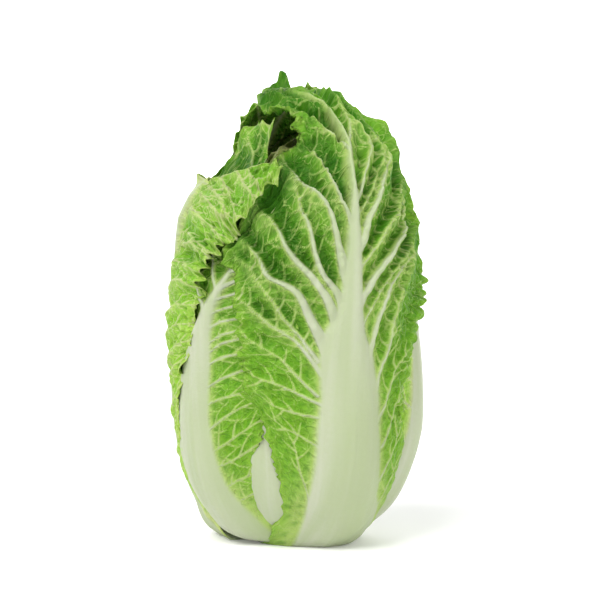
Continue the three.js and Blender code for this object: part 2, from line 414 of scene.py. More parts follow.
# %% A leaf's place in the spiral
OUTER_COUNT, LEAF_COUNT = 8, 20
SPIRAL_START, SPIRAL_TURN = -105, 137.5
FIRST_DEPTH = 4.6  # how deep the outermost leaf lies, so that its rib has room above it
OUTER_STEP, INNER_STEP = 2.1, 3.3  # how much deeper each next outer or inner leaf lies
FOOT_STEPS, CROWN_STEPS = 0.65, 1.2  # how much wider these steps are at the foot and at the crown
BLADE = 1.0  # the blade's thickness
STEM_RADIUS, STEM_TIP, STEM_HEIGHT = 26, 8, 76  # radius at the floor and at the top, and height of the top
STEM_GAP = 0.5


def spiral_place(order, turn=0):
    """Azimuth, depth below the outermost shell, foot and relative size of a leaf."""
    below = OUTER_STEP * order + (INNER_STEP - OUTER_STEP) * max(order - OUTER_COUNT + 1, 0)
    shares = np.arange(0, 0.3, 0.0005)
    radius, height = shell(shares, FIRST_DEPTH + FOOT_STEPS * below + BLADE)
    stem = np.interp(height, [0, STEM_HEIGHT], [STEM_RADIUS, STEM_TIP])
    foot = shares[np.argmax(radius >= stem + STEM_GAP)]
    size = 1 - (FIRST_DEPTH + below) / SHELL_DEPTH * (1 - HEART["radius"] / HEAD["radius"])
    return {"azimuth": SPIRAL_START + SPIRAL_TURN * order + turn, "below": below, "foot": foot, "size": size}


print("place of the second leaf:", spiral_place(1))

# %% [markdown]
# Laid flat, an ordinary leaf is a long spoon: narrow at the foot, broad above its middle and blunt at the
# tip. A drawn curve could be traced, but leaves of every size are wanted, so the outline is given as shares
# of the leaf's own length and of the turn that it takes round the head.

# %% The edge of an ordinary leaf
def plain_edge(place, tip, spread=58, hang=0.16, widest=0.6):
    """Side and tip of an ordinary leaf: (y, x) points up the side and (u, y) points along the tip."""
    length = (tip - place["foot"]) * HEAD_LENGTH
    part = np.linspace(0, 1, 12)
    widening = 0.2 + 0.8 * smooth(0, widest, part)
    narrowing = 1 - 0.45 * smooth(0.64, 1, part)
    share = place["foot"] + part * length / HEAD_LENGTH
    radian = across_radian(share, FIRST_DEPTH + place["below"])
    side = list(zip(part * length, np.radians(spread) * widening * narrowing * radian))
    corner = [(u, length - hang * HEAD_LENGTH * u**2.5) for u in np.linspace(0, 1, 6)]
    return side, corner


print("half width of a plain leaf, mm:", np.round([x for _, x in plain_edge(spiral_place(1), 1)[0]]))

# %% [markdown]
# What makes a leaf a cabbage leaf is its relief, and the rib comes first. It is a rounded bar, broad and
# thick at the foot, with faint flutes along it. A separate bar would have to be joined to the blade, so the
# leaf's outer face is raised instead, and the inner face stays smooth against the next leaf.

# %% The rib
RIB_HEIGHT = 4.6
RIB_THINNING = 0.7  # share of its height that the rib has lost at the tip


def rib_relief(plan, flat):
    """The rib's middle line, half width and height, and how far each corner lies from its middle."""
    x, y, seed = flat.x, flat.y, plan["seed"]
    centre, half = through(plan["rib_middle"], y), through(plan["rib_half"], y)
    away = np.abs(x - centre) / half
    upward = y / plan["length"]
    swell = smooth(-0.04, 0.12, upward) * (1 - RIB_THINNING * upward)
    flute = lumps(x, y * 0.05, 4.5, seed) * 0.2 + lumps(x, y * 0.05, 12, seed + 1) * 0.8
    cap = 1 - smooth(0.35, 1.1, away)
    height = RIB_HEIGHT * plan["size"] * plan["rib_up"] + flute
    height = height * swell * cap * smooth(-2, 16, flat.tip_gap)
    return SimpleNamespace(centre=centre, half=half, away=away, cap=cap, height=height)


print("rib height at the foot and at the tip, mm:", RIB_HEIGHT, round(RIB_HEIGHT * (1 - RIB_THINNING), 2))

# %% [markdown]
# The blade drops steeply beside each vein and rises slowly to the next, so it folds like a fan. The folds
# could be sculpted, but they have to meet the veins exactly, and the field of veins already says how far
# above its vein each corner is. Two more fields come from it, both painted light: the painted shade in each
# of the folds, and a lighter tone painted where light would shine through the blade.

# %% Veins and folds
def blurred(field):
    """A field with its sharpest steps taken off, so that they don't look sawn."""
    padded = np.pad(field, 1, mode="edge")
    field = (padded[:-2] + 2 * padded[1:-1] + padded[2:]) / 4
    return (field[:, :-2] + 2 * field[:, 1:-1] + field[:, 2:]) / 4


def fold_relief(plan, flat, rib):
    """Vein ridges, the depth of the folds between them, and their painted shade and painted shine-through."""
    x, y, seed = flat.x, flat.y, plan["seed"]
    start = rib.centre * plan["from_rib"]
    bent_x = x + lumps(x, y, 17, seed + 8) * plan["bend"]
    bent_y = y + lumps(x, y, 17, seed + 9) * plan["bend"]
    left = vein_field(start - bent_x, bent_y, plan["veins"][0], seed + 30)
    right = vein_field(bent_x - start, bent_y, plan["veins"][1], seed + 31)
    ridge, vein, above, gap = [np.where(x < rib.centre, a, b) for a, b in zip(left, right)]
    place = np.clip(above / np.maximum(gap, 3), 0, 1)
    open_blade = smooth(0.85, 1.2, rib.away) * smooth(1, 16, flat.edge)
    steep = through(plan["fold"], y) * np.clip(gap / 11, 0.3, 1.15) * open_blade
    drop = smooth(0.5, 3.6, above)
    depth = steep * (drop * (1 - place) ** 1.3 - 0.45 * (place**2 + 1 - drop))
    # painted light: lighter near the top of each of the folds, where light would shine through the blade
    glow = np.exp(-np.maximum(gap - above, 0) / 3.5) * np.clip(steep / 3, 0, 1)
    # painted shade: darkest right beside each vein, where the blade drops into the folds; right_shade scales
    # it right of the rib
    shade = blurred(steep * (1 - place) ** 1.8 * smooth(0, 1.5, above)) / 5
    shade = shade * np.where(x < rib.centre, 1, plan["right_shade"])
    return SimpleNamespace(ridge=ridge, vein=vein, open=open_blade, depth=depth, glow=glow, shade=shade)


print("a sharp step, blurred:", blurred(np.array([[0.0, 0, 1, 1]]))[0])

# %% [markdown]
# Between the finest veins the blade sinks into small pits, and towards the edge it crumples like paper. A
# bump in the material would fake this from the front, but it would vanish at the outline, where such leaves
# look roughest. The pits are a few millimetres wide, so the leaf's corners can carry them.

# %% Pits and crumples
def pit_relief(plan, flat, rib):
    """Depth of the pits, distance to a pit's border and a tone for each pit."""
    x, y, seed, size = flat.x, flat.y, plan["seed"], plan["cell"]
    sway = [lumps(x, y, 9, seed + k) * 1.6 for k in (5, 6)]
    border, tone = cells(x + sway[0], y * 0.9 + sway[1], size, seed + 2)
    depth = smooth(0, size * 0.42, border) * (1 + 0.35 * tone)
    depth *= through(plan["pits"], y) * (1 - rib.cap) * smooth(0.9, 1.3, rib.away)
    return depth, border, tone


def crumpled(plan, flat, rib):
    """Sharp lumps that grow towards the edge."""
    x, y, seed = flat.x, flat.y, plan["seed"]
    crumple = lumps(x, y, 8, seed + 10) * 1.2 + lumps(x, y, 4.5, seed + 11) * 0.6
    return crumple * through(plan["crumple"], y) * np.exp(-flat.edge / 32) * (1 - rib.cap)


print("a crumple fades over 32 mm, and is this strong 10 mm in:", round(math.exp(-10 / 32), 2))

# %% [markdown]
# A leaf's edge grows faster than its middle, so it has too much length and ripples. Cloth simulation can
# buckle such an edge, but it seldom stops at the frill that is wanted. Three waves of falling size, each
# with a wandering phase, look the same, and the blade also slips along the edge, so that the crests curl
# over.

# %% The frilled edge
WAVES = [(41, 2.6, 17), (19, 3.2, 11), (9, 1.9, 6)]  # length along the edge, height, reach inwards


def frilled(plan, around, edge, seed):
    """Ripples of the edge: how far the blade goes out, and how far it slips along the edge."""
    out, slip = np.zeros_like(edge), np.zeros_like(edge)
    for wave, (length, height, reach) in enumerate(WAVES):
        wander = lumps(around, edge * 0.3, length * 1.1, seed + wave) * 3.2
        phase = 2 * np.pi * around / length + wander + wave * 1.7
        fade = np.exp(-edge / reach) * (0.75 + 0.6 * lumps(around, edge, length * 1.7, seed + wave + 12))
        out += height * fade * np.sin(phase)
        slip += height * 0.55 * fade * np.cos(phase)
    return out + plan["flare"] * np.exp(-edge / 9), slip


ripple = frilled({"flare": 0}, np.arange(0, 60, 12.0), np.zeros(5), 1)[0]
print("ripple along an edge, mm:", ripple.round(1))

# %% [markdown]
# Now the parts of the relief are added up. Listed swells move a leaf where its neighbours need room.
# The rib and the ridges belong to the outer face alone, and all else moves both faces, so the blade keeps
# its thickness. The same numbers are kept as painted fields, so that colour and shape can't disagree.

# %% All the relief of a leaf
RIDGE_SHOWS = [(0, 0.3), (120, 0.8), (180, 1)]  # (height, share): the lower veins lie under the rib's skin


def bumps(spots, x, y, start=0):
    """Adds soft round bumps to start, each with its middle, half width, half length and height."""
    for x_at, y_at, wide, tall, height in spots:
        start = start + height * np.exp(-(((x - x_at) / wide) ** 2) - ((y - y_at) / tall) ** 2)
    return start


def leaf_relief(plan, flat):
    """Relief of the blade and of its outer face, depth of its pits, slip of its edge, and painted fields."""
    x, y, edge, seed = flat.x, flat.y, flat.edge, plan["seed"]
    rib = rib_relief(plan, flat)
    folds = fold_relief(plan, flat, rib)
    pit, border, tone = pit_relief(plan, flat, rib)
    soft = lumps(x, y, 15, seed + 3) * 0.9 + lumps(x, y, 37, seed + 4) * 1.1
    soft *= through(plan["pits"], y) * folds.open
    waves, slip = frilled(plan, flat.around, edge, seed + 7)
    frill = through(plan["frill"], y)
    crumple = crumpled(plan, flat, rib)
    blade = bumps(plan["swells"], x, y, soft - folds.depth + (waves * frill + crumple))
    raised = np.maximum(rib.height, folds.ridge * (0.45 + 0.55 * folds.open) * through(RIDGE_SHOWS, y))
    # painted shade in the crumpled valleys of the blade
    painted_valley_shade = np.clip(-crumple - soft * 0.2, 0, 2) * 0.3
    fields = {
        "vein": folds.vein,
        "flush": smooth(*plan["flush"], (x - rib.centre) / rib.half),
        "cell": border / plan["cell"],
        "edge": edge,
        # painted shade: in the folds, in the crumpled valleys and in listed spots
        "fold": folds.shade + painted_valley_shade + bumps(plan["dusk"], x, y),
        # painted light: a lighter tone where light would shine through the blade
        "glow": blurred(folds.glow),
        "tone": tone,
        "near_rib": np.clip((rib.away - 1) * rib.half + 4 * (1 - smooth(0.2, 0.9, rib.half)), -30, 99),
    }
    return blade, raised, pit, slip * frill, fields


print("a swell 5 mm high, 10 mm off its middle:", round(float(bumps([(0, 0, 20, 20, 5)], 10, 0)), 2))

# %% [markdown]
# A leaf is first laid out flat, as if pressed on a table: foot below, tip above. Its edge has soft lobes,
# and low down a row of small saw teeth. The outline could be cut from a bigger sheet, but the cut would
# cross the grid. Stretching each row to the leaf's own width keeps the rows whole and the edge clean.

# %% The flat outline
OVAL_HALF_WIDTH = 75  # of the oval that stands for a leaf when distance along its edge is wanted
LOBES = [(8, 2, 0), (3.4, 1.1, 9)]  # size, height and place in the noise
SAW_PITCH, SAW_HEIGHT = 6.6, 2.6


def edge_run(x, y, wide, tall):
    """Millimetres along an oval's edge, up to the place that lies in the direction of a point."""
    turn = np.linspace(-np.pi, np.pi, 721)
    step = np.hypot(wide * np.cos(turn), tall * np.sin(turn)) * (turn[1] - turn[0])
    return np.interp(np.arctan2(x / wide, y / tall), turn, np.cumsum(step))


def toothed(seed, around, y):
    """How far the edge stands out beyond its plain line."""
    level = y * 0
    lobes = [lumps(around, level + at, size, seed + k) * high for k, (size, high, at) in enumerate(LOBES)]
    saw = around / SAW_PITCH + lumps(around, level + 5, 15, seed + 2) * 0.9
    saw = np.abs(saw % 1 - 0.5) * 2
    saw = SAW_HEIGHT * saw**1.6 * smooth(8, 20, y) * (1 - smooth(110, 170, y))
    return (lobes[0] + lobes[1]) * smooth(10, 40, y) + saw


def flat_leaf(plan):
    """Where the corners of the flat leaf lie, how far from its edge, and how far along that edge."""
    columns, rows = plan["faces"]
    u, v = np.meshgrid(np.linspace(-1, 1, columns + 1), np.linspace(0, 1, rows + 1))
    tip = through(plan["tip"], u)
    y = v * tip
    side = np.where(u < 0, through(plan["left"], y), through(plan["right"], y))
    middle = 0.5 * plan["length"]
    around = edge_run(u * side, y - middle, OVAL_HALF_WIDTH, middle)
    tooth = toothed(plan["seed"] + 20, around, y)
    side_gap, tip_gap = (1 - np.abs(u)) * side + 1e-3, (1 - v) * tip + 1e-3
    return SimpleNamespace(
        x=u * (side + tooth * smooth(0.8, 1, np.abs(u)) * smooth(2, 25, side)),
        y=v * (tip + tooth * 1.3 * smooth(0.9, 1, v)),
        edge=side_gap * tip_gap / np.hypot(side_gap, tip_gap),
        tip=tip, tip_gap=tip_gap, around=around,
    )


print("length of a leaf's edge from its foot to its tip, mm:", edge_run(0, 1, OVAL_HALF_WIDTH, 140).round())

# %% [markdown]
# The flat leaf is now wrapped on its shell, foot against the stem. A Shrinkwrap or Curve modifier could
# bend it, but both lose track of the foot, where every leaf clasps the stem. Here height along the leaf
# becomes a share of the shell's length, and distance to the side becomes a turn round the head.

# %% Wrap a leaf round the head
RIM = 0.45  # thickness of a leaf's very edge, as a share of its blade's


def wrapped(plan, flat, slip):
    """Share of the shell's length, turn to the side, and depth below the outside, for each corner."""
    foot, part = plan["foot"], flat.y / flat.tip
    tight = FOOT_STEPS + (1 - FOOT_STEPS) * smooth(0, 0.2, part)
    loose = 1 + (CROWN_STEPS - 1) * smooth(0.55, 0.9, part)
    depth = FIRST_DEPTH + plan["below"] * tight * loose
    middle = foot + flat.y / HEAD_LENGTH
    across = (flat.x + slip * 0.5) / across_radian(middle, depth)
    clasp = np.cos(np.pi * foot) / np.cos(np.clip(across, -1.4, 1.4))
    clasp = np.arccos(np.clip(clasp, -1, 1)) / np.pi
    share = middle - (foot - clasp) * (1 - smooth(0, 34, flat.y)) + slip * 0.6 / HEAD_LENGTH
    upward = flat.y / plan["length"]
    drift = sum(math.radians(turn) * smooth(low, high, upward) for low, high, turn in plan["drift"])
    return share, across + drift, depth


def make_leaf(plan):
    """One whole leaf: its flat outline, its relief, and its place on the head."""
    flat = flat_leaf(plan)
    blade, raised, pit, slip, fields = leaf_relief(plan, flat)
    hug = through(plan["hug"], flat.y) * np.exp(-flat.edge / 18)
    blade = blurred(blurred(blade)) - blurred(pit) - hug
    share, across, depth = wrapped(plan, flat, slip)
    azimuth = math.radians(plan["azimuth"])
    thick = BLADE * (RIM + (1 - RIM) * smooth(0, 5, flat.edge))
    outer_face = head_point(azimuth, share, across, depth - blade - blurred(raised))
    inner_face = head_point(azimuth, share, across, depth - blade + thick)
    leaf = fill_leaf(plan, outer_face, inner_face, np.stack([flat.x, flat.y], -1), fields)
    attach(leaf, "root")
    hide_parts(plan["node"])
    return leaf


print("thickness of a blade and of its very edge, mm:", BLADE, BLADE * RIM)

# %% [markdown]
# A plan holds everything that makes one leaf differ from the next: its place, its outline, its rib, its
# veins and the strength of each kind of relief. One function with many arguments would do, but a dictionary
# of plain values lets each leaf below change just the few that set it apart.

# %% An ordinary leaf's plan
def start_plan(order, name, tip, turn=0, lean=0, left=None, right=None):
    """The numbers of an ordinary leaf, for the leaf at one place in the spiral."""
    place = spiral_place(order, turn)
    left_side, left_tip = plain_edge(place, tip, **(left or {}))
    right_side, right_tip = plain_edge(place, tip, **(right or {}))
    length = (tip - place["foot"]) * HEAD_LENGTH
    up = np.linspace(70, length, 9)
    rib = [(0, 24), (70, 29)] + [(y, 2 + 27 * ((length - y) / (length - 70)) ** 1.5) for y in up[1:]]
    return place | {
        "name": name.replace("outer_leaf", "leaf").replace("inner_leaf", "leaf_inner"),
        "node": name, "slot": "outer_leaf", "seed": 100 + 40 * order,
        # the outline: how it drifts round the head as it rises, its two sides and its tip
        "length": length, "drift": [(0.55, 1, lean)], "left": left_side, "right": right_side,
        "tip": [(-u, y) for u, y in left_tip] + right_tip,
        # the rib: its middle line, its half width, its height, and where a green flush crosses it
        "rib_middle": [(0, 0), (length, 0)], "rib_half": [(y, half * place["size"]) for y, half in rib],
        "rib_up": 1, "flush": (-0.5, 0.6),
        # the veins: whether they start from the rib's middle, how bent they are, and how deep the folds are
        "veins": [grown_veins(length, 7 + order), grown_veins(length, 57 + order)],
        # the numbers for the folds also set how dark the shade painted in them is; right_shade scales that
        # painted shade right of the rib
        "from_rib": True, "bend": 2.6, "fold": [(80, 0), (160, 1.0), (260, 1.8)], "right_shade": 1,
        # the blade: its pits, its crumples, its frill, and how its edge hugs the head
        "cell": 8.0, "pits": [(40, 0.25), (120, 0.6), (220, 1.2)], "crumple": [(0, 0), (120, 0.3), (240, 1)],
        "frill": [(50, 0.05), (130, 0.5), (220, 1)], "flare": 2.0,
        # after the swells come spots where shade is painted on the blade
        "hug": [(5, 0), (30, 3), (90, 3), (170, 0)], "swells": [], "dusk": [],
    }


print("numbers in a plan:", len(start_plan(0, "outer_leaf_left", 1)))

# %% [markdown]
# The eight outer leaves are what one sees, so each has a place, a height and a spread of its own. They
# could be copies of one leaf, turned and scaled, but a head of copies looks like a toy. The leaves that
# face the front also get more faces than the rest, because their relief is seen closest.

# %% The outer leaves
outer_plans = [
    start_plan(
        0, "outer_leaf_left", 0.91, 0, 34, {"spread": 50, "hang": 0.26}, {"spread": 60, "widest": 0.68}
    ),
    start_plan(1, "outer_leaf_front", 1.03, -8, -16, {"spread": 62}),
    start_plan(2, "outer_leaf_back", 0.99, 20, 10, None, {"spread": 60, "hang": 0.06}),
    start_plan(3, "outer_leaf_front_left", 0.93, 0, 12, {"spread": 54}, {"spread": 50, "widest": 0.66}),
    start_plan(4, "outer_leaf_right", 0.97, 0, -4),
    start_plan(5, "outer_leaf_back_left", 0.95),
    start_plan(6, "outer_leaf_middle", 0.94, -14),
    start_plan(7, "outer_leaf_back_right", 0.97),
]
FACES = [(150, 230), (148, 330), (130, 210), (120, 210), (120, 210), (100, 160), (100, 150), (110, 180)]
outer = {}  # each outer leaf's plan, under the name of its measured solid
for plan, faces in zip(outer_plans, FACES, strict=True):
    plan["faces"] = faces
    outer[plan["node"]] = plan
    print(plan["node"], "is", round(plan["length"]), "mm long")

# %% [markdown]
# The front leaf faces the viewer, so nothing about it is left to a rule. Its outline is drawn point by
# point, its rib is a broad white bar that leans and narrows to a thread, and its tip turns up in a small
# tuft. All of it could be sculpted, but points in a list are easy to correct by a millimetre.

# %% The front leaf's outline and rib
outer["outer_leaf_front"] |= {
    "drift": [(0.3, 0.6, 7), (0.72, 1, -23)],
    "left": [
        (0, 26), (11, 28), (34, 34), (64, 46), (76, 52), (88, 55), (102, 69), (146, 70), (206, 81), (226, 84),
        (242, 95), (262, 90), (276, 76), (288, 56), (297, 38), (310, 27), (330, 22), (350, 24), (372, 20),
    ],
    "right": [
        (0, 36), (22, 39), (42, 41), (69, 42), (99, 38), (121, 42), (147, 47), (159, 55), (194, 71),
        (240, 76), (300, 75), (372, 58),
    ],
    "rib_middle": [
        (0, 9), (14, 9), (50, 0.5), (100, -2.5), (122, -2), (147, -6), (163, -9), (180, -7), (255, -6),
        (274, -8), (288, -5), (305, -3), (320, 3), (340, 2), (372, -3),
    ],
    "rib_half": [
        (0, 25), (14, 27), (50, 22.5), (85, 20), (120, 18.5), (147, 17.5), (163, 14), (178, 9.5), (202, 7),
        (228, 5.6), (255, 3.2), (288, 2.1), (322, 1.1), (345, 0.5), (356, 0.2), (372, 0.2),
    ],
    "flush": (-0.7, 0.1),
    "hug": [(5, 0), (25, 5), (100, 5), (170, 0)],
    "swells": [
        (12, 375, 7, 8, 25), (-14, 350, 12, 14, 2), (34, 366, 26, 26, -5), (50, 366, 26, 26, -7),
        (-86, 250, 20, 60, -3.5), (-78, 212, 22, 30, 1.8),
    ],
}
print("front leaf's half width on the left, mm:", max(wide for _, wide in outer["outer_leaf_front"]["left"]))

# %% [markdown]
# The front leaf's veins are given one by one too, because each can be told apart: five as thick as a pencil
# half way up the left side, thin ones below and above them, and a looser row on the right. The blade folds
# most beside the thick ones, and its crumples and pits grow towards the crown.

# %% The front leaf's veins and blade
front_left_veins = [
    (0.9, [(21, 50), (29, 73), (36, 88), (40, 94)]),
    (0.8, [(25, 91), (33, 94), (40, 94), (48, 96), (54, 98)]),
    (0.9, [(27, 108), (36, 108), (50, 107), (60, 110)]),
    (1.2, [(25, 119), (37, 123), (50, 125), (71, 122)]),
    (1.1, [(26, 127), (40, 140), (54, 150), (72, 159)]),
    (1.5, [(24, 143), (36, 158), (52, 169), (67, 182), (85, 207)]),
    (1.2, [(27, 151), (37, 164), (46, 174), (56, 190), (76, 225)]),
    (3.4, [(22, 158), (34, 179), (40, 191), (46, 198), (60, 207), (67, 223), (77, 246)]),
    (3.3, [(15, 168), (20, 179), (29, 195), (38, 206), (47, 218), (54, 242), (63, 253), (69, 264)]),
    (3.0, [(13, 180), (21, 195), (28, 203), (32, 213), (36, 235), (41, 244), (45, 268), (48, 275)]),
    (3.9, [(10, 197), (17, 220), (20, 232), (23, 241), (29, 251), (35, 258), (42, 267), (47, 277),
           (50, 290)]),
    (2.4, [(8, 233), (16, 249), (23, 265), (26, 277), (28, 287), (30, 300)]),
    (1.3, [(7, 282), (11, 298), (13, 309), (16, 322)]),
]
front_right_veins = [
    (1.0, [(27, 40), (36, 60), (46, 76)]),
    (1.0, [(23, 66), (32, 86), (45, 104)]),
    (1.0, [(21, 92), (30, 110), (44, 122)]),
    (1.2, [(17, 112), (24, 127), (31, 140), (42, 147)]),
    (1.4, [(15, 134), (20, 149), (25, 170), (28, 179), (34, 195)]),
    (2.0, [(8, 150), (14, 176), (19, 191), (29, 206), (42, 219), (55, 232)]),
    (0.8, [(4, 172), (14, 192), (26, 207), (38, 219), (52, 236)]),
    (2.6, [(1, 186), (12, 205), (23, 220), (35, 234), (41, 252), (46, 275)]),
    (0.8, [(0, 206), (12, 226), (26, 242), (36, 258), (44, 280)]),
    (2.4, [(0, 224), (8, 243), (17, 260), (24, 277), (29, 290), (32, 305)]),
    (0.7, [(-2, 238), (8, 256), (18, 274), (26, 292), (30, 308)]),
    (1.8, [(-3, 250), (2, 265), (7, 276), (13, 287), (15, 297), (17, 310)]),
    (1.3, [(-3, 286), (9, 303), (14, 312), (18, 325)]),
]
outer["outer_leaf_front"] |= {
    "veins": [front_left_veins, front_right_veins], "from_rib": False, "bend": 1.3,
    # the front leaf's folds carry less painted shade right of the rib
    "fold": [(100, 0.3), (145, 1.2), (170, 4.4), (230, 7.5), (300, 5.5)], "right_shade": 0.4,
    "cell": 6.6, "pits": [(40, 0.3), (120, 0.7), (180, 1.1), (240, 2.3), (300, 3)],
    "crumple": [(0, 0), (120, 0.3), (230, 1), (290, 2.6), (360, 2.6)],
    # spots of painted shade: two at the tip and one near the left leaf's edge
    "dusk": [(0, 357, 17, 11, 1.1), (12, 374, 10, 9, 1.3), (-53, 275, 13, 13, 0.9)],
}
print("front leaf's hand-set veins:", len(front_left_veins), "and", len(front_right_veins))

# %% [markdown]
# The left leaf wraps over the front one, and its frilled right edge crosses the head as a bright ruffle.
# Its edge could be a separate ruffle laid on top, but it has to fade into the blade, so the leaf itself
# gets more frill, more crumple and deeper pits, and a tip that folds over to the right.

# %% The left leaf
outer["outer_leaf_left"] |= {
    "tip": [(-1, 225), (-0.5, 250), (-0.1, 260), (0.06, 270), (0.15, 296), (0.35, 347), (0.7, 367), (1, 362)],
    "right": [
        (0, 12), (25, 22), (45, 41), (60, 46), (78, 47), (90, 48), (104, 50), (120, 57), (142, 68), (207, 76),
        (243, 65), (273, 58), (306, 47), (329, 40), (356, 30),
    ],
    "rib_middle": [(0, -8), (80, -11), (180, -7), (280, 0), (360, 0)],
    "rib_half": [
        (0, 30), (28, 28), (50, 18), (120, 16), (180, 11), (230, 5.5), (270, 2.2), (300, 1.2), (360, 1),
    ],
    "veins": [grown_veins(300, 7), [(0.62 * width, run) for width, run in grown_veins(340, 8, 60, 15, 0.75)]],
    "fold": [(60, 0.8), (120, 1.6), (220, 2.4)],
    "hug": [
        (5, 0), (25, 2), (45, 0.8), (90, 1), (125, 1), (140, 2), (190, 2.5), (215, 1), (240, 0), (320, -0.5),
    ],
    "cell": 6.5, "pits": [(40, 0.5), (120, 2), (220, 3)],
    "crumple": [(30, 0.3), (120, 0.6), (180, 1.2), (230, 2.4), (350, 2.2)],
    "frill": [(50, 0.3), (120, 0.5), (170, 0.8), (220, 2)], "flare": 0.5,
    "swells": [(40, 290, 60, 60, 2)],
}
print("left leaf's frill, from foot to tip:", [high for _, high in outer["outer_leaf_left"]["frill"]])

# %% [markdown]
# At the lower left a third leaf shows its broad white rib, and beside the front leaf it leaves a narrow
# gap. Its right edge is drawn, because that edge makes the gap. At the crown it ends in a lobe that closes
# the hollow between the left leaf and the front one.

# %% The front left leaf
outer["outer_leaf_front_left"] |= {
    "right": [
        (0, 26), (12, 27), (23, 26.5), (35, 29), (47, 29), (60, 30.5), (70, 33), (78, 41), (96, 52),
        (120, 64), (200, 70), (330, 40),
    ],
    "tip": [
        (-1, 262), (-0.62, 274), (-0.5, 288), (-0.36, 303), (-0.12, 306), (0.02, 300), (0.12, 284),
        (0.3, 266), (1, 250),
    ],
    "rib_middle": [
        (0, 0), (25, -5), (54, -13), (104, -18), (141, -5), (160, 1), (175, 8), (190, 15), (205, 21),
        (250, 32), (300, 36),
    ],
    "rib_half": [
        (0, 22), (25, 24), (54, 25), (104, 26), (141, 16), (160, 10.5), (175, 6.5), (190, 3.8), (205, 2.4),
        (250, 1.4), (310, 1),
    ],
    "rib_up": 1.25, "flush": (0.0, 1.0),
    "veins": [grown_veins(280, 10), grown_veins(280, 62, 36, 12.5, 0.8)],
    "crumple": [(0, 0), (120, 0.3), (240, 1), (280, 2.4)],
    "swells": [
        (-16, 60, 24, 40, 3.5), (25, 250, 50, 30, -5), (4, 200, 16, 30, 2.5), (-30, 168, 12, 26, 3),
        (-20, 300, 24, 14, 5), (38, 203, 24, 26, -3),
    ],
    # a band of painted shade under the left leaf's top edge
    "dusk": [(-17, 274, 40, 9, 1.2)],
}
print("front left leaf's highest point, mm:", max(high for _, high in outer["outer_leaf_front_left"]["tip"]))

# %% [markdown]
# The other outer leaves are seen at the sides, through the gap and over the crown. They keep the ordinary
# plan, and only swell or hug the head where a neighbour would otherwise come through them.

# %% The other outer leaves
outer["outer_leaf_middle"] |= {
    "rib_up": 0.9, "swells": [(0, 45, 40, 34, 3)],
    "tip": [(-1, 262), (-0.5, 274), (0, 282), (1, 280)],
}
outer["outer_leaf_right"] |= {
    "rib_up": 1.3, "swells": [(0, 235, 32, 55, -5), (0, 335, 70, 45, -6)],
    "hug": [(5, 0), (25, 5), (120, 5), (190, 1)],
}
outer["outer_leaf_back"] |= {
    "hug": [(5, 0), (25, 8), (130, 9), (200, 2)], "swells": [(30, 332, 15, 18, 4)], "flare": 6,
    "tip": [(-1, 322), (-0.5, 332), (0, 340), (0.2, 338), (0.32, 331), (0.7, 326), (1, 320)],
}
outer["outer_leaf_back_left"] |= {"swells": [(28, 318, 18, 18, 7)], "flare": 7}
print("swells on each outer leaf:", {name: len(plan["swells"]) for name, plan in outer.items()})

# %% [markdown]
# Inside, the leaves get smaller, paler and closer. Little of them is ever seen, so they could be left out,
# but a head with nothing in it looks empty from above. They share the ordinary plan on a coarser blank.

# %% The inner leaves
inner_plans = []
for order in range(OUTER_COUNT, LEAF_COUNT):
    plan = start_plan(order, f"inner_leaf_{order - OUTER_COUNT + 1:02d}", 0.96, 0, 6)
    inner_plans.append(plan | {"slot": "inner_leaf", "faces": (40, 60), "cell": 9, "flare": 1})
inner_plans[0]["tip"] = [(-1, 250), (0, 272), (1, 250)]
print("inner leaves:", len(inner_plans))

# %% [markdown]
# With every plan ready, one loop grows the leaves from the outside in. Each takes the place of its measured
# solid, so that solid no longer shows.

# %% Grow every leaf
leaves = [make_leaf(plan) for plan in outer_plans + inner_plans]
print("triangles in all leaves:", sum(len(leaf.data.polygons) * 2 for leaf in leaves))

# %% [markdown]
# Finishes come next. A shader's sums are easier to read as sums than as a long list of nodes, so one small
# class wraps a socket: a + b, 1 - mask and so on add the Math nodes, and one method adds any other node.

# %% Sums on sockets
class Wire:
    """A socket of a material's node tree."""

    def __init__(self, tree, socket):
        self.tree, self.socket = tree, socket

    def node(self, kind, settings=(), inputs=(), output=0):
        """Adds a node, sets it up, and connects or fills the named inputs."""
        made = self.tree.nodes.new("ShaderNode" + kind)
        for key, value in dict(settings).items():
            setattr(made, key, value)
        for key, value in dict(inputs).items():
            if isinstance(value, Wire):
                self.tree.links.new(value.socket, made.inputs[key])
            else:
                made.inputs[key].default_value = value
        return Wire(self.tree, made.outputs[output])

    def math(self, operation, *values):
        """One Math node."""
        return self.node("Math", {"operation": operation}, enumerate(values))

    def __add__(self, other):
        return self.math("ADD", self, other)

    def __sub__(self, other):
        return self.math("SUBTRACT", self, other)

    def __rsub__(self, other):
        return self.math("SUBTRACT", other, self)

    def __mul__(self, other):
        return self.math("MULTIPLY", self, other)

    def __pow__(self, other):
        return self.math("POWER", self, other)

    __radd__, __rmul__ = __add__, __mul__

    def between(self, low, high):
        """0 below low, 1 above high, soft between them."""
        ranged = {"Value": self, "From Min": low, "From Max": high}
        return self.node("MapRange", {"interpolation_type": "SMOOTHSTEP"}, ranged)

    def blend(self, first, second):
        """One colour where this is 0, another where it is 1."""
        inputs = {0: self, 6: first, 7: second}
        return self.node("Mix", {"data_type": "RGBA"}, inputs, 2)


print("besides sums, a wire has:", [name for name in vars(Wire) if not name.startswith("_")])

# %% [markdown]
# A paint looks lighter under strong lamps. Colours could be guessed until they look right, but here each is
# given as it should look on the screen, and is turned into the paint that looks so under the scene's lamps.

# %% Paint under the lamps
LAMPS = 1.7  # how much brighter than its paint a surface looks under the lamps


